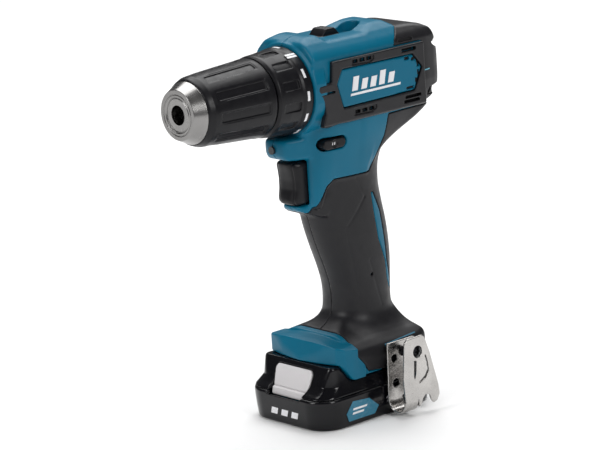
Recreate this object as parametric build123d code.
from build123d import *
import os
from functools import cache
from math import acos, cos, pi, radians, sin, tan

# ---- driving dimensions, in millimetres ----
AXIS_Z = 178.6            # height of the chuck axis above the battery's flat bottom
NOSE_Y = -98.6            # front face of the chuck
SLEEVE_Y = -91.6          # front edge of the black chuck sleeve
SLEEVE_END_Y = -49.0
COLLAR_Y = -48.4          # front edge of the torque collar
COLLAR_END_Y = -26.6
COLLAR_R = 23.3
HOUSING_Y = -26.2         # front ring of the housing
COVER_Y = 52.0            # joint between housing halves and rear cover
REAR_Y = 68.5
SIDE_X = 23.5             # half width of the motor housing
BAND_X = 24.7             # half width over the side bands
BORE_R = 20.4             # inner radius of the motor housing
DECK_Z = 203.4            # flat top of the housing behind the front ring
BAND_TOP_Z = 193.6
BAND_LOW_Z = 161.0
JAW_TILT = 15.0
JAW_R = 3.0
JAW_OUT_R = 4.13          # jaw's outer line at the nose plane
JAW_TRAVEL = 19.3         # along the tilted line, from fully open to closed
BIT_R = 5.2               # largest bit shank radius, the bore in the nose
BIT_LENGTH = 3.2          # length of that bore
MOTOR_R = 18.0
CELL_R = 9.1
CELL_L = 65.0
# the three cells: X, front end Y
CELL_SPOTS = [(-18.2, -31.3), (0.0, -28.8), (18.2, -31.3)]
BATTERY_X = 31.2
BATTERY_Y0 = -42.0
BATTERY_Y1 = 43.0
STEP_Z = 17.0
SKIRT_Z = 24.5            # parting line between foot and battery along the sides
CHANNEL_X = 25.3
CHANNEL_Z = 33.0
# air slots near the rear of each side: y from, y to, z from, z to
REAR_VENTS = [(35.4, 45.7, 195.1, 196.8), (35.4, 45.9, 190.2, 192.2), (36.6, 48.2, 165.1, 166.7),
              (35.4, 46.9, 162.8, 164.4)]
# grip sections: height, centre Y, half width, half depth
GRIP = [(54.0, 15.0, 16.8, 18.4), (62.0, 15.3, 16.4, 18.0), (70.0, 15.3, 16.6, 18.8),
        (80.0, 14.1, 17.0, 20.8), (90.0, 12.0, 17.2, 22.6), (100.0, 9.8, 17.2, 23.8),
        (110.0, 7.6, 17.0, 24.0), (121.0, 5.4, 16.8, 24.4), (133.0, 4.4, 17.0, 26.4),
        (143.0, 6.6, 18.4, 29.4), (152.0, 13.5, 20.4, 37.5), (160.0, 18.5, 22.0, 43.0)]
RUBBER = 1.5
COVER_SCREWS = [(18.6, 191.0), (18.6, 166.2), (-18.6, 191.0), (-18.6, 166.2)]
SCREW_SEAT_Y = 57.6       # where the cover screws' heads rest
SLOT_FLOOR_Z = 200.8      # floor of the speed selector's track
LATCH_SLOPE = 17.2        # lean of the latch button from upright
LATCH_HALF = 8.3          # half its length along that slope
CLIP_SCREW = (16.0, 33.0)  # Y and Z of the belt clip's screw
BEND_X = 39.35            # middle line of the belt clip's lower bend
BEND_Z = 9.0
BEND_R = 6.95             # outside radius of that bend
STRIP_T = 1.3             # thickness of the clip's strip
# gear stages: module, sun teeth, planet teeth, ring teeth, front Y, rear Y of the planets
STAGES = [(0.70, 15, 15, 45, -0.5, 5.5), (0.65, 18, 15, 48, -12.4, -6.4), (0.65, 24, 12, 48, -21.8, -16.2)]
PRESSURE = radians(20.0)


# ---- small helpers ----
def prism_x(points, x0, x1):
    base = Plane(origin=(x0, 0, 0), x_dir=(0, 1, 0), z_dir=(1, 0, 0))
    return extrude(base * make_face(Polyline(*points, close=True)), amount=x1 - x0)


def prism_y(points, y0, y1):
    base = Plane(origin=(0, y1, 0), x_dir=(1, 0, 0), z_dir=(0, -1, 0))
    return extrude(base * make_face(Polyline(*points, close=True)), amount=y1 - y0)


def prism_z(points, z0, z1):
    return extrude(Plane.XY.offset(z0) * make_face(Polyline(*points, close=True)), amount=z1 - z0)


def box(x0, x1, y0, y1, z0, z1):
    return Pos((x0 + x1) / 2, (y0 + y1) / 2, (z0 + z1) / 2) * Box(x1 - x0, y1 - y0, z1 - z0)


def rod(r, start, end):
    a = Vector(*start)
    b = Vector(*end)
    return Solid.make_cylinder(r, (b - a).length, Plane(origin=a, z_dir=(b - a).normalized()))


def rod_x(r, x0, x1, y, z):
    return rod(r, (x0, y, z), (x1, y, z))


def rod_y(r, y0, y1, x=0.0, z=AXIS_Z):
    return rod(r, (x, y0, z), (x, y1, z))


def tube_y(r_out, r_in, y0, y1, x=0.0, z=AXIS_Z):
    return rod_y(r_out, y0, y1, x, z) - rod_y(r_in, y0 - 1, y1 + 1, x, z)


def turned(profile):
    pts = [(y, AXIS_Z + r) for r, y in profile]
    base = Plane(origin=(0, 0, 0), x_dir=(0, 1, 0), z_dir=(1, 0, 0))
    face = base * make_face(Polyline(*pts, close=True))
    return revolve(face, Axis((0, 0, AXIS_Z), (0, 1, 0)), 360)


def spun(shape, angle):
    return shape.rotate(Axis((0, 0, AXIS_Z), (0, 1, 0)), angle)


def mirrored(points):
    return points + [(-x, z) for x, z in reversed(points)]


def ellipse_loft(sections, inset):
    faces = [Pos(0, yc, z) * Ellipse(a - inset, b - inset) for z, yc, a, b in sections]
    return loft(Sketch() + [Plane(origin=(0, 0, 0)) * f for f in faces])


@cache
def neck():
    side = prism_x([(-22.6, 161.0), (-22.6, 117.0), (-18.6, 114.6), (-15.0, 127.0), (-10.4, 130.2),
                    (13.0, 130.2), (19.0, 147.0), (21.0, 161.0)], -21, 21)
    section = prism_y(mirrored([(14.6, 114.0), (16.6, 130.0), (18.2, 146.0), (20.0, 161.0)]), -23.0, 28.0)
    plan = prism_z([(-11.0, -23.0), (11.0, -23.0), (16.0, -18.6), (20.0, -9.0), (20.0, 14.0), (15.0, 22.0),
                    (-15.0, 22.0), (-20.0, 14.0), (-20.0, -9.0), (-16.0, -18.6)], 112, 162)
    return side & section & plan


def halves(shape):
    left = shape & box(0, 60, -80, 90, -10, 230)
    right = shape & box(-60, 0, -80, 90, -10, 230)
    return left, right


# ---- chuck ----
def jaw_line_r(depth):
    return JAW_OUT_R + depth * tan(radians(JAW_TILT))


def jaw_rod(r, depth0, depth1, angle):
    centre0 = jaw_line_r(depth0) - JAW_R / cos(radians(JAW_TILT))
    centre1 = jaw_line_r(depth1) - JAW_R / cos(radians(JAW_TILT))
    shape = rod(r, (0, NOSE_Y + depth0, AXIS_Z + centre0), (0, NOSE_Y + depth1, AXIS_Z + centre1))
    return spun(shape, angle)


def chuck_body():
    mouth = NOSE_Y + 0.4
    body = turned([(BIT_R, mouth), (8.4, mouth), (8.4, NOSE_Y + 7), (12.2, NOSE_Y + 7),
                   (12.2, NOSE_Y + 40), (14.9, NOSE_Y + 40.5), (14.9, SLEEVE_END_Y), (6.05, SLEEVE_END_Y),
                   (6.05, mouth + BIT_LENGTH), (BIT_R, mouth + BIT_LENGTH)])
    for k in range(3):
        body -= jaw_rod(JAW_R + 0.06, 3, 42, 120 * k)
    return body


def chuck_nose():
    return turned([(8.4, NOSE_Y), (9.0, NOSE_Y + 0.6), (9.4, NOSE_Y), (13.1, NOSE_Y), (16.3, NOSE_Y + 6.6),
                   (16.3, NOSE_Y + 6.9), (14.9, NOSE_Y + 6.9), (14.9, NOSE_Y + 10), (12.2, NOSE_Y + 10),
                   (12.2, NOSE_Y + 7), (8.4, NOSE_Y + 7)])


def jaw(angle):
    shape = jaw_rod(JAW_R, 8, 38.4, 0)
    reach = NOSE_Y + 10.7
    tip = box(-6, 6, reach - 8, reach, AXIS_Z - 4, AXIS_Z + 14)
    # the three jaws close on each other along faces at 60 degrees to their middle line
    root = AXIS_Z + JAW_TRAVEL * sin(radians(JAW_TILT)) + 0.14
    side = 10 * tan(radians(60))
    wedge = prism_y([(0, root), (side, root + 10), (side, root + 16), (-side, root + 16),
                     (-side, root + 10)], NOSE_Y, NOSE_Y + 60)
    grip = box(-6, 6, reach - 1, NOSE_Y + 60, root + 0.2, root + 20)
    return spun((shape - tip) & wedge & grip, angle)


def chuck_nut():
    return tube_y(17.0, 12.25, NOSE_Y + 21, NOSE_Y + 27.8)


def chuck_sleeve():
    sleeve = turned([(15.0, SLEEVE_Y), (16.6, SLEEVE_Y), (18.3, SLEEVE_Y + 3.5), (19.2, SLEEVE_Y + 12),
                     (21.0, SLEEVE_END_Y - 1.2), (20.4, SLEEVE_END_Y + 0.2), (15.0, SLEEVE_END_Y + 0.2),
                     (15.0, NOSE_Y + 41), (16.0, NOSE_Y + 41), (16.0, NOSE_Y + 27.8),
                     (17.0, NOSE_Y + 27.8), (17.0, NOSE_Y + 12), (15.0, NOSE_Y + 11)])
    floor = AXIS_Z + 17.9
    flute = prism_y([(-2.1, floor), (2.1, floor), (3.0, floor + 6), (-3.0, floor + 6)],
                    SLEEVE_Y + 7, SLEEVE_END_Y - 5)
    flute = flute.rotate(Axis((0, SLEEVE_Y + 7, floor), (1, 0, 0)), 3.2)
    for k in range(10):
        sleeve -= spun(flute, 36 * k + 25)
    return sleeve


def chuck_screw():
    return rod_y(4.6, NOSE_Y + 29, NOSE_Y + 32) + rod_y(2.0, NOSE_Y + 32, NOSE_Y + 44)


def spindle():
    shaft = rod_y(6.0, NOSE_Y + 32, -24.0) - rod_y(2.05, NOSE_Y + 31, NOSE_Y + 44)
    return shaft + rod_y(13.0, -25.0, -22.2) + planet_pins(2)


# ---- gears ----
def involute(angle):
    return tan(angle) - angle


def flank(teeth, module, radius, play):
    pitch = module * teeth / 2
    base = pitch * cos(PRESSURE)
    at = acos(min(1.0, base / radius))
    return pi / (2 * teeth) + play / pitch + involute(PRESSURE) - involute(at)


def tooth_ring(teeth, module, r_low, r_high, play, phase, x=0.0, z=0.0):
    base = module * teeth / 2 * cos(PRESSURE)
    start = max(r_low, base * 1.001)
    radii = [start + (r_high - start) * k / 3 for k in range(4)]
    side = [(r, flank(teeth, module, r, play)) for r in radii]
    if r_low < start:
        side = [(r_low, side[0][1])] + side
    points = []
    for k in range(teeth):
        mid = phase + 2 * pi * k / teeth
        for r, half in side:
            points.append((x + r * cos(mid - half), z + r * sin(mid - half)))
        for r, half in reversed(side):
            points.append((x + r * cos(mid + half), z + r * sin(mid + half)))
    return points


def outer_gear(teeth, module, y0, y1, phase, x=0.0, z=AXIS_Z):
    pitch = module * teeth / 2
    points = tooth_ring(teeth, module, pitch - 1.1 * module, pitch + 0.8 * module, -0.06, phase, x, z)
    return prism_y(points, y0, y1)


def planet_spots(stage):
    module, sun, planet, ring, y0, y1 = STAGES[stage]
    arm = module * (sun + planet) / 2
    turns = [2 * pi * k / 3 for k in range(3)]
    return [(arm * cos(turn), AXIS_Z + arm * sin(turn), turn) for turn in turns]


def planet_gear(stage, k):
    module, sun, planet, ring, y0, y1 = STAGES[stage]
    x, z, phi = planet_spots(stage)[k]
    phase = phi + pi - (2 * pi / planet) * (0.5 - phi * sun / (2 * pi))
    return outer_gear(planet, module, y0, y1, phase, x, z) - rod_y(1.3, y0 - 1, y1 + 1, x, z)


def planet_pins(stage):
    y0, y1 = STAGES[stage][4:]
    pins = [rod_y(1.25, y0 - 1.2, y1 + 0.2, x, z) for x, z, phi in planet_spots(stage)]
    return pins[0] + pins[1] + pins[2]


def ring_gear(stage, y0, y1, r_out):
    module, sun, planet, ring = STAGES[stage][:4]
    pitch = module * ring / 2
    phase = -(2 * pi / ring) * (0.5 - planet / 2)
    points = tooth_ring(ring, module, pitch - 0.75 * module, pitch + 1.1 * module, 0.06, phase, 0, AXIS_Z)
    return rod_y(r_out, y0, y1) - prism_y(points, y0 - 1, y1 + 1)


def carrier(stage, plate0, plate1, next_sun_y0):
    module, teeth = STAGES[stage + 1][:2]
    plate = rod_y(13.0, plate0, plate1)
    sun = outer_gear(teeth, module, next_sun_y0, plate0, 0.0)
    return plate + sun + planet_pins(stage)


# ---- gearbox, clutch and motor ----
def gear_case():
    return turned([(18.3, 7.0), (20.2, 7.0), (20.2, -25.4), (20.1, -25.4), (20.1, -28.2), (11.2, -28.2),
                   (11.2, -46.0), (9.0, -46.0), (9.0, -26.0), (18.3, -26.0)])


def spindle_bearing():
    return tube_y(9.0, 6.04, -45.4, -27.0)


def clutch_plate():
    plate = tube_y(17.4, 11.5, -30.4, -29.2)
    for k in range(6):
        plate += spun(rod_y(1.6, -29.2, -28.3, 14.6, AXIS_Z), 60 * k)
    return plate


def clutch_spring():
    coil = Helix(pitch=2.35, height=8.2, radius=14.4)
    start = Plane(origin=coil @ 0, z_dir=coil % 0)
    wire = sweep(start * Circle(0.75), path=coil)
    return Pos(0, -31.25, AXIS_Z) * (Rot(90, 0, 0) * wire)


def clutch_nut():
    nut = tube_y(17.2, 11.3, -44.4, -41.2)
    for k in range(3):
        lug = box(16.0, 19.8, -44.4, -41.2, AXIS_Z - 2.3, AXIS_Z + 2.3)
        nut += spun(lug, 120 * k + 30)
    return nut


def torque_collar():
    ring = turned([(13.0, COLLAR_Y), (20.6, COLLAR_Y), (21.6, COLLAR_Y + 1.5), (22.3, COLLAR_Y + 8),
                   (22.6, COLLAR_Y + 15.5), (COLLAR_R, COLLAR_Y + 17), (COLLAR_R, COLLAR_END_Y),
                   (20.17, COLLAR_END_Y), (20.17, -31.0), (18.4, -31.0), (18.4, -46.6), (13.0, -46.6)])
    for k in range(3):
        ring -= spun(box(15.0, 20.0, -46.6, -30.9, AXIS_Z - 2.4, AXIS_Z + 2.4), 120 * k + 30)
    recess = box(21.2, 26.0, COLLAR_Y + 4, COLLAR_Y + 14, AXIS_Z - 2.2, AXIS_Z + 2.2)
    for k in range(12):
        ring -= spun(recess, 30 * k + 12)
    return ring


def motor_can():
    return turned([(17.0, 8.6), (MOTOR_R, 8.6), (MOTOR_R, 48.0), (16.8, 48.0), (16.8, 9.8), (5.6, 9.8),
                   (5.6, 8.6)])


def motor_magnets():
    return tube_y(16.8, 13.6, 12.0, 44.0) - box(-3.0, 3.0, 10, 46, AXIS_Z - 20, AXIS_Z + 20)


def armature():
    core = rod_y(13.0, 15.0, 40.0)
    for k in range(5):
        core -= spun(box(-1.0, 1.0, 14, 41, AXIS_Z + 6.5, AXIS_Z + 14), 72 * k)
    return core + rod_y(2.0, 6.6, 58.0) + rod_y(5.0, 40.0, 47.0)


def motor_pinion():
    pinion = outer_gear(15, 0.70, -0.9, 6.4, 0.0)
    return pinion + rod_y(3.6, 6.4, 7.6) - rod_y(2.0, 6.6, 9.0)


def windings():
    return turned([(3.6, 11.2), (10.4, 11.2), (12.2, 12.6), (12.2, 14.9), (3.6, 14.9)])


def motor_endcap():
    cap = turned([(2.05, 48.0), (MOTOR_R, 48.0), (MOTOR_R, 50.5), (8.0, 51.0), (7.0, 57.0), (2.05, 57.0)])
    for side in (-1, 1):
        cap += box(side * 8.5 - 2.5, side * 8.5 + 2.5, 42.5, 48.2, AXIS_Z - 3, AXIS_Z - 1.6)
    return cap


def brushes():
    pair = [box(x - 2.9, x + 2.9, 42.6, 46.6, AXIS_Z - 1.6, AXIS_Z + 1.6) for x in (-8.1, 8.1)]
    return pair[0] + pair[1]


def motor_plate():
    return tube_y(20.2, 5.7, 7.2, 8.6)


# ---- housing ----
def barrel_section():
    side = [(9.0, -23.5), (17.0, -18.5), (21.8, -11.5), (SIDE_X, -6.0), (SIDE_X, 17.6), (22.6, 18.6),
            (16.4, 24.6), (11.0, 28.4), (9.0, 28.6)]
    return mirrored([(x, AXIS_Z + z) for x, z in side])


@cache
def barrel():
    section = prism_y(barrel_section(), HOUSING_Y, REAR_Y)
    profile = prism_x([(-26.2, 155.5), (-26.2, 203.4), (-18.0, 206.6), (-12.5, 206.6), (-9.5, DECK_Z),
                       (17.5, DECK_Z), (22.0, 205.6), (27.0, 207.2), (34.5, 207.2), (39.5, 203.6),
                       (50.0, 203.2), (56.5, 202.0), (61.5, 199.4), (65.5, 194.0), (67.8, 187.0),
                       (REAR_Y, 182.0), (REAR_Y, 174.0), (66.6, 167.4), (61.0, 160.4),
                       (52.0, 155.0)], -30, 30)
    plan = prism_z([(-SIDE_X, HOUSING_Y), (SIDE_X, HOUSING_Y), (SIDE_X, 56.0), (22.0, 62.0),
                    (19.6, 66.2), (12.0, REAR_Y), (-12.0, REAR_Y), (-19.6, 66.2), (-22.0, 62.0),
                    (-SIDE_X, 56.0)], 140, 220)
    return section & profile & plan


@cache
def front_ring():
    ring = turned([(19.0, HOUSING_Y), (24.6, HOUSING_Y), (25.2, HOUSING_Y + 1.5), (25.2, -22.0),
                   (23.6, -18.0), (19.0, -18.0)])
    return ring & box(-24.5, 24.5, -40, 0, 150, 210)


def chin():
    side = prism_x([(-37.6, 153.6), (-38.6, 150.0), (-37.6, 145.6), (-34.6, 142.8), (-10.0, 141.6),
                    (-10.0, 160.0), (-25.6, 160.0), (-25.6, 154.2)], -16, 16)
    plan = prism_z([(-3.5, -37.8), (3.5, -37.8), (7.5, -35.6), (10.5, -30.0), (13.5, -20.0), (16.0, 0.0),
                    (-16.0, 0.0), (-13.5, -20.0), (-10.5, -30.0), (-7.5, -35.6)], 140, 161)
    return side & plan


def guard():
    side = prism_x([(-28.0, 116.4), (-26.4, 114.4), (-22.0, 112.4), (-16.6, 110.2), (-12.6, 110.0),
                    (-8.0, 120.0), (-18.0, 120.0), (-21.0, 116.9)], -12, 12)
    plan = prism_z([(-3.0, -28.4), (3.0, -28.4), (7.0, -26.4), (9.6, -22.0), (11.0, -16.0), (12.0, -4.0),
                    (-12.0, -4.0), (-11.0, -16.0), (-9.6, -22.0), (-7.0, -26.4)], 100, 125)
    return side & plan


@cache
def foot_block():
    side = prism_x([(-17.5, SKIRT_Z), (43.6, SKIRT_Z), (43.6, 32.4), (41.2, 36.4), (36.8, 41.0),
                    (33.4, 45.0), (31.4, 49.6), (30.0, 56.0), (-2.4, 56.0), (-4.6, 51.4), (-8.4, 48.6),
                    (-12.5, 46.2), (-17.0, 45.4), (-17.5, 38.0)], -32, 32)
    section = prism_y(mirrored([(30.6, SKIRT_Z), (31.0, 34.4), (29.6, 37.8), (25.0, 41.8), (20.0, 44.8),
                                (16.6, 47.0), (15.2, 49.6), (14.4, 56.0)]), -50, 50)
    plan = prism_z([(-31.0, -18.0), (31.0, -18.0), (31.0, 30.0), (28.6, 37.0), (23.6, 41.4), (17.0, 43.6),
                    (-17.0, 43.6), (-23.6, 41.4), (-28.6, 37.0), (-31.0, 30.0)], 20, 60)
    return side & section & plan


@cache
def bumper_block():
    side = prism_x([(-29.6, CHANNEL_Z), (-26.2, 43.8), (-22.9, 44.4), (-9.0, 45.6), (-9.0, SKIRT_Z),
                    (-17.6, SKIRT_Z), (-23.8, CHANNEL_Z)], -32, 32)
    section = prism_y(mirrored([(31.2, SKIRT_Z), (31.2, 40.8), (27.0, 42.4), (20.0, 43.4), (9.0, 44.8),
                                (1.0, 45.6)]), -50, 50)
    plan = prism_z([(0.0, -29.6), (14.0, -28.0), (25.5, -25.2), (29.0, -21.8), (31.2, -16.0), (31.2, 0.0),
                    (-31.2, 0.0), (-31.2, -16.0), (-29.0, -21.8), (-25.5, -25.2), (-14.0, -28.0)], 20, 60)
    return side & section & plan


def bumper_zone():
    return prism_x([(-60.0, 30.0), (-24.0, 33.0), (-17.6, 24.0), (6.8, 24.0), (6.8, 25.2), (-6.5, 26.8),
                    (-9.8, 31.6), (-14.0, 36.4), (-13.8, 41.4), (-12.5, 47.0), (-12.5, 60.0),
                    (-60.0, 60.0)], -40, 40)


def foot_channel():
    return box(-CHANNEL_X, CHANNEL_X, -60, 37.2, SKIRT_Z - 2, CHANNEL_Z)


def rubber_zone():
    return prism_x([(26.0, 158.6), (25.0, 147.0), (19.0, 134.0), (15.0, 129.4), (-10.6, 130.0),
                    (-15.4, 127.0), (-19.4, 119.0), (-22.6, 113.4), (-40.0, 104.0), (-40.0, 56.0),
                    (70.0, 56.0), (70.0, 158.6)], -40, 40)


def grip_strip():
    # bare strip of housing between the side and the back of the soft grip
    return prism_x([(15.7, 117.7), (16.4, 107.7), (18.3, 92.0), (23.0, 78.8), (24.3, 68.4), (27.0, 62.0),
                    (28.5, 62.0), (27.9, 67.3), (25.0, 78.2), (24.1, 90.6), (22.3, 106.3),
                    (17.5, 117.7)], -30, 30)


def cover_zone():
    return prism_x([(32.0, 194.0), (33.0, 197.0), (39.0, 203.0), (40.0, 215.0), (90.0, 215.0),
                    (90.0, 140.0), (COVER_Y, 140.0), (COVER_Y, 194.0)], -60, 60)


def band_outline():
    return [(-13.5, BAND_TOP_Z), (-14.6, 182.8), (-23.6, 182.2), (-24.0, 179.4), (-21.8, 176.6),
            (-19.8, 171.0), (-19.6, 167.3), (-22.2, 160.2), (-17.3, 159.2), (-11.2, 160.6),
            (-5.0, BAND_LOW_Z + 0.3), (COVER_Y, BAND_LOW_Z + 0.3), (COVER_Y, BAND_TOP_Z)]


def panel_outline():
    return [(-11.2, 181.4), (-7.2, 188.8), (43.6, 188.4), (50.2, 180.4), (44.0, 168.4), (-7.4, 168.0)]


def side_vents(x0, x1):
    cuts = box(x0, x1, *REAR_VENTS[0])
    for y0, y1, z0, z1 in REAR_VENTS[1:]:
        cuts += box(x0, x1, y0, y1, z0, z1)
    for y in (1.0, 6.0, 10.8):
        for z in (190.4, 163.8):
            cuts += box(x0, x1, y, y + 3.6, z, z + 1.8)
    return cuts


def side_band(side):
    frame = prism_x(band_outline(), SIDE_X - 2.2, BAND_X) - prism_x(panel_outline(), SIDE_X - 5, BAND_X + 2)
    frame -= barrel() + front_ring()
    frame -= side_vents(SIDE_X - 5, BAND_X + 5)
    return frame if side > 0 else mirror(frame, about=Plane.YZ)


@cache
def housing_solid():
    outer = barrel() + front_ring() + chin() + guard() + neck() + ellipse_loft(GRIP, 0.01)
    outer += foot_block() + clip_boss()
    outer -= cover_zone()
    outer -= (foot_block() & bumper_zone())
    outer -= bumper_block()
    outer -= rubber_solid()
    outer -= rod_y(BORE_R, -40, 80)
    outer -= box(-60, 60, -60, HOUSING_Y, 154.6, 230)
    inner = ellipse_loft(GRIP, RUBBER + 2.6) & box(-40, 40, -60, 60, 42, 161)
    outer -= inner
    outer -= foot_channel()
    outer -= box(-10, 10, -12, 30, 30, 60)
    outer -= trigger_slot()
    outer -= slider_slot()
    outer -= lever_slot()
    outer -= lamp_hole()
    outer -= clip_boss_hole()
    for side in (-1, 1):
        outer -= side_vents(min(side * 15, side * 40), max(side * 15, side * 40))
    return outer


def flare():
    # underside of the soft grip, sweeping out to the rear cover
    side = prism_x([(10.0, 168.0), (10.0, 136.0), (18.5, 136.0), (25.0, 141.4), (29.0, 143.6),
                    (42.3, 149.7), (48.8, 152.8), (54.3, 156.2), (59.0, 159.7), (61.0, 162.0),
                    (61.0, 168.0)], -22, 22)
    half = mirrored([(15.4, 136.0), (17.6, 146.0), (19.4, 154.0), (20.8, 161.0), (21.2, 168.0)])
    section = prism_y(half, 8, 62)
    plan = prism_z([(-21.2, 8.0), (21.2, 8.0), (21.2, 52.0), (18.0, 61.0), (-18.0, 61.0),
                    (-21.2, 52.0)], 134, 169)
    return side & section & plan


@cache
def rubber_solid():
    shell = ellipse_loft(GRIP, 0.0) - ellipse_loft(GRIP, RUBBER)
    sweep_out = flare()
    shell += sweep_out - (Pos(0, -2.4, 2.2) * sweep_out & box(-17.6, 17.6, 0, 70, 130, 175))
    shell = shell & rubber_zone()
    shell -= barrel()
    shell -= grip_strip()
    shell -= neck() + trigger_slot()
    shell -= foot_block()
    return shell


def trigger_slot():
    return box(-9.0, 9.0, -40, -6.6, 117.6, 141.4)


def slider_slot():
    track = prism_z(stadium(6.2, -7.4, 27.0), SLOT_FLOOR_Z, 215)
    return track + box(-2.2, 2.2, -1.4, 14.0, 190, 215)


def lever_slot():
    return box(-40, 40, -19.0, -2.6, 146.4, 152.6)


def lamp_hole():
    return rod(2.1, (0, -50, 148.6), (0, -30, 148.6))


def stadium(half, y0, y1):
    turns = [pi * k / 8 for k in range(9)]
    front = [(-half * cos(t), y0 + half - half * sin(t)) for t in turns]
    rear = [(half * cos(t), y1 - half + half * sin(t)) for t in turns]
    return front + rear


def clip_boss_hole():
    return rod_x(1.6, 20, 40, *CLIP_SCREW)


def rear_cover():
    cap = barrel() & cover_zone()
    cap -= rod_y(BORE_R, 20, COVER_Y)
    cap -= rod_y(BORE_R - 0.4, 40, 57.5)
    cap -= rod_y(10.0, 40, 63.0)
    cap -= side_vents(15, 40) + side_vents(-40, -15)
    for x, z in COVER_SCREWS:
        cap -= rod_y(2.9, SCREW_SEAT_Y, 80.0, x, z) + rod_y(1.5, 50.0, SCREW_SEAT_Y + 1, x, z)
    return cap


def cover_screws():
    shapes = [rod_y(2.6, SCREW_SEAT_Y, SCREW_SEAT_Y + 1.8, x, z) + rod_y(1.45, 52.6, SCREW_SEAT_Y, x, z)
              for x, z in COVER_SCREWS]
    return Compound(children=shapes)


def bumper():
    lip = (foot_block() & bumper_zone()) + bumper_block()
    return (lip & bumper_zone()) - foot_channel() - box(-10, 10, -12, 30, 30, 60)


# ---- controls ----
def speed_selector():
    plate = prism_z(stadium(5.9, -7.0, 12.4), SLOT_FLOOR_Z + 0.05, SLOT_FLOOR_Z + 2.2)
    knob = prism_x([(-1.8, 202.9), (9.2, 202.9), (8.2, 205.0), (5.2, 206.9), (2.2, 206.9), (-0.6, 205.0)],
                   -5.2, 5.2)
    return plate + knob + box(-2.0, 2.0, -1.0, 8.0, 199.3, 201.4)


def trigger():
    side = prism_x([(-20.6, 141.0), (-31.6, 141.0), (-30.2, 137.0), (-29.4, 132.0), (-29.8, 127.0),
                    (-31.4, 121.4), (-30.4, 118.4), (-27.6, 118.2), (-13.0, 118.2),
                    (-13.0, 141.0)], -8.7, 8.7)
    plan = prism_z([(-8.7, -12.0), (-8.7, -26.2), (-6.6, -30.0), (-3.0, -31.8), (3.0, -31.8), (6.6, -30.0),
                    (8.7, -26.2), (8.7, -12.0)], 110, 145)
    stem = box(-3, 3, -13.0, -7.6, 128.0, 134.0)
    return (side & plan) + stem


def trigger_spring():
    coil = Helix(pitch=1.9, height=6.2, radius=3.0)
    start = Plane(origin=coil @ 0, z_dir=coil % 0)
    wire = sweep(start * Circle(0.4), path=coil)
    return Pos(0, -6.2, 124.0) * (Rot(90, 0, 0) * wire)


def switch_body():
    block = box(-8.4, 8.4, -5.8, 15.0, 118.6, 141.4)
    block -= box(-3.3, 3.3, -6.8, 3.0, 127.7, 134.3)
    return block + box(-6, 6, 15.0, 17.0, 121, 126)


def reverse_lever():
    return box(-19.0, 19.0, -18.7, -2.9, 146.7, 152.3)


def lamp_lens():
    return rod(2.1, (0, -38.2, 148.6), (0, -31.0, 148.6))


# ---- battery ----
def battery_plan(grow, z0, z1):
    length = BATTERY_Y1 - BATTERY_Y0 + 2 * grow
    middle = (BATTERY_Y0 + BATTERY_Y1) / 2
    outline = RectangleRounded(2 * (BATTERY_X + grow), length, 15 + grow)
    return Pos(0, middle, z0) * extrude(outline, amount=z1 - z0)


def battery_lower():
    shell = battery_plan(0.0, 4.0, STEP_Z) + battery_plan(-1.0, 1.2, 4.0) + battery_plan(-2.2, 0.0, 1.2)
    shell -= battery_plan(-2.4, 1.8, STEP_Z + 1)
    return shell - latch_slot()


def battery_upper():
    side = prism_x([(-42.0, STEP_Z), (-41.2, 18.4), (-37.0, 19.6), (-34.0, 21.4), (-29.9, 32.8),
                    (-24.2, 32.8), (-17.9, SKIRT_Z - 0.3), (42.0, SKIRT_Z - 0.3), (43.0, STEP_Z)], -40, 40)
    low = Pos(0, 0.5, STEP_Z) * RectangleRounded(62.4, 85.0, 15.0)
    ledge = Pos(0, 1.1, STEP_Z + 2.6) * RectangleRounded(58.8, 81.4, 13.6)
    high = Pos(0, 2.8, CHANNEL_Z) * RectangleRounded(53.0, 76.4, 8.0)
    top = loft(Sketch() + [low, ledge]) + loft(Sketch() + [ledge, high])
    top = top & side
    top += box(-25.0, 25.0, -28.0, 36.6, 24.0, CHANNEL_Z - 0.4)
    hollow = box(-23.0, 23.0, -24.0, 34.6, 15.0, CHANNEL_Z - 2.4)
    hollow += box(-27.6, 27.6, -32.0, 38.0, 15.0, 21.6)
    return top - hollow - latch_slot()


def latch_frame(grow, thick0, thick1):
    w0 = 13.4 + grow
    w1 = 14.2 + grow
    half = LATCH_HALF + grow
    front = [(-w0, -half), (w0, -half), (w1, half - 2.0), (w1 - 1.6, half), (-w1 + 1.6, half),
             (-w1, half - 2.0)]
    lean = radians(LATCH_SLOPE)
    base = Plane(origin=(0, -34.0, 22.0), x_dir=(1, 0, 0), z_dir=(0, -cos(lean), sin(lean)))
    return extrude(base.offset(-thick0) * make_face(Polyline(*front, close=True)), amount=thick0 + thick1)


def latch_slot():
    return latch_frame(0.25, 4.0, 12.0)


def battery_latch():
    return latch_frame(0.0, 1.2, 1.3)


def cells():
    row = [rod_y(CELL_R, y, y + CELL_L, x, 1.9 + CELL_R) for x, y in CELL_SPOTS]
    return Compound(children=row)


def cell_board():
    return box(-20, 20, -20, 30, 23.4, 25.0)


def battery_contacts():
    shape = box(-9, 9, 10, 22, 25.0, 26.6)
    for x in (-6, -2, 2, 6):
        shape += box(x - 0.5, x + 0.5, 11, 21, 26.6, 30.4)
    return shape


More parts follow.
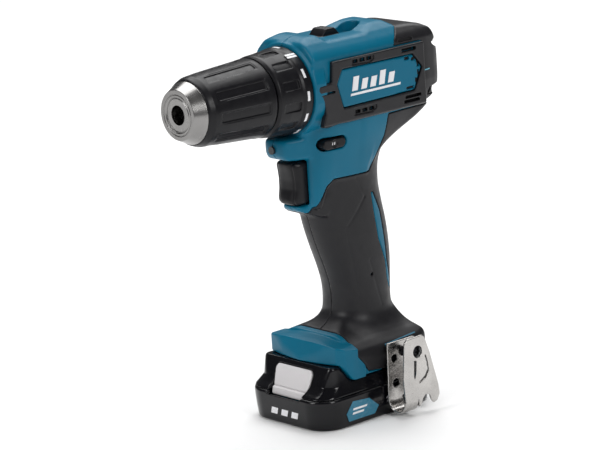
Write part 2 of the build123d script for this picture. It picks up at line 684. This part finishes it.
# ---- belt clip ----
def belt_clip():
    inner = prism_x([(4.5, 39.5), (24.5, 39.5), (22.5, 12.0), (13.5, 9.0), (3.5, 9.0)], 32.4, 33.7)
    inner -= rod_x(1.75, 20, 40, *CLIP_SCREW)
    inner -= rod_x(1.9, 20, 40, 19.0, 19.5)
    bend = rod(BEND_R, (BEND_X, 3.6, BEND_Z), (BEND_X, 13.4, BEND_Z))
    bend -= rod(BEND_R - STRIP_T, (BEND_X, 0, BEND_Z), (BEND_X, 20, BEND_Z))
    bend = bend & box(30, 50, 0, 20, 0, BEND_Z)
    outer = prism_x([(5.4, 41.6), (7.2, 43.2), (18.4, 43.6), (20.0, 42.0), (23.4, 32.8), (25.8, 23.4),
                     (28.4, 14.0), (29.0, 8.6), (27.0, 5.2), (24.2, 4.4), (22.6, 6.6), (21.8, 9.6),
                     (18.6, 10.6), (16.6, 8.6), (15.6, 5.8), (13.4, 5.0), (13.4, BEND_Z), (3.6, BEND_Z),
                     (3.4, 22.0)], BEND_X + BEND_R - STRIP_T, BEND_X + BEND_R)
    outer -= rod_x(3.2, 40, 50, 14.4, 35.1)
    outer -= prism_x([(11.0, 30.6), (13.4, 30.4), (12.8, 25.0), (11.8, 21.0), (11.0, 20.6)], 40, 50)
    return inner + bend + outer


def clip_screw():
    return rod_x(2.7, 33.7, 35.9, *CLIP_SCREW) + rod_x(1.55, 26.0, 33.7, *CLIP_SCREW)


def clip_boss():
    return rod_x(4.2, 28.0, 32.4, *CLIP_SCREW)


# ---- everything ----
def build():
    nodes = {}
    nodes["housing_left"], nodes["housing_right"] = halves(housing_solid())
    nodes["grip_rubber_left"], nodes["grip_rubber_right"] = halves(rubber_solid())
    nodes["side_band_left"] = side_band(1)
    nodes["side_band_right"] = side_band(-1)
    nodes["rear_cover"] = rear_cover()
    nodes["cover_screws"] = cover_screws()
    nodes["foot_bumper"] = bumper()
    nodes["gear_case"] = gear_case()
    nodes["spindle_bearing"] = spindle_bearing()
    nodes["ring_gear_1"] = ring_gear(0, -1.0, 6.4, 18.3)
    nodes["ring_gear_2"] = ring_gear(1, -13.0, -6.2, 18.2)
    nodes["ring_gear_3"] = ring_gear(2, -22.0, -15.8, 18.3)
    for stage in range(3):
        for k in range(3):
            nodes["planet_%d_%d" % (stage + 1, k + 1)] = planet_gear(stage, k)
    nodes["carrier_1"] = carrier(0, -5.8, -1.2, -12.8)
    nodes["carrier_2"] = carrier(1, -15.4, -13.2, -22.0)
    nodes["spindle"] = spindle()
    nodes["clutch_plate"] = clutch_plate()
    nodes["clutch_spring"] = clutch_spring()
    nodes["clutch_nut"] = clutch_nut()
    nodes["torque_collar"] = torque_collar()
    nodes["chuck_body"] = chuck_body()
    nodes["chuck_nose"] = chuck_nose()
    nodes["chuck_sleeve"] = chuck_sleeve()
    nodes["chuck_nut"] = chuck_nut()
    nodes["chuck_screw"] = chuck_screw()
    for k in range(3):
        nodes["chuck_jaw_%d" % (k + 1)] = jaw(120 * k)
    nodes["motor_can"] = motor_can()
    nodes["motor_magnets"] = motor_magnets()
    nodes["motor_plate"] = motor_plate()
    nodes["armature"] = armature()
    nodes["motor_pinion"] = motor_pinion()
    nodes["windings"] = windings()
    nodes["motor_endcap"] = motor_endcap()
    nodes["brushes"] = brushes()
    nodes["speed_selector"] = speed_selector()
    nodes["trigger"] = trigger()
    nodes["trigger_spring"] = trigger_spring()
    nodes["switch_body"] = switch_body()
    nodes["reverse_lever"] = reverse_lever()
    nodes["lamp_lens"] = lamp_lens()
    nodes["battery_lower"] = battery_lower()
    nodes["battery_upper"] = battery_upper()
    nodes["battery_latch"] = battery_latch()
    nodes["cells"] = cells()
    nodes["cell_board"] = cell_board()
    nodes["battery_contacts"] = battery_contacts()
    nodes["belt_clip"] = belt_clip()
    nodes["clip_screw"] = clip_screw()
    return nodes


os.makedirs("parts", exist_ok=True)
for name, shape in build().items():
    export_step(shape, "parts/" + name + ".step")
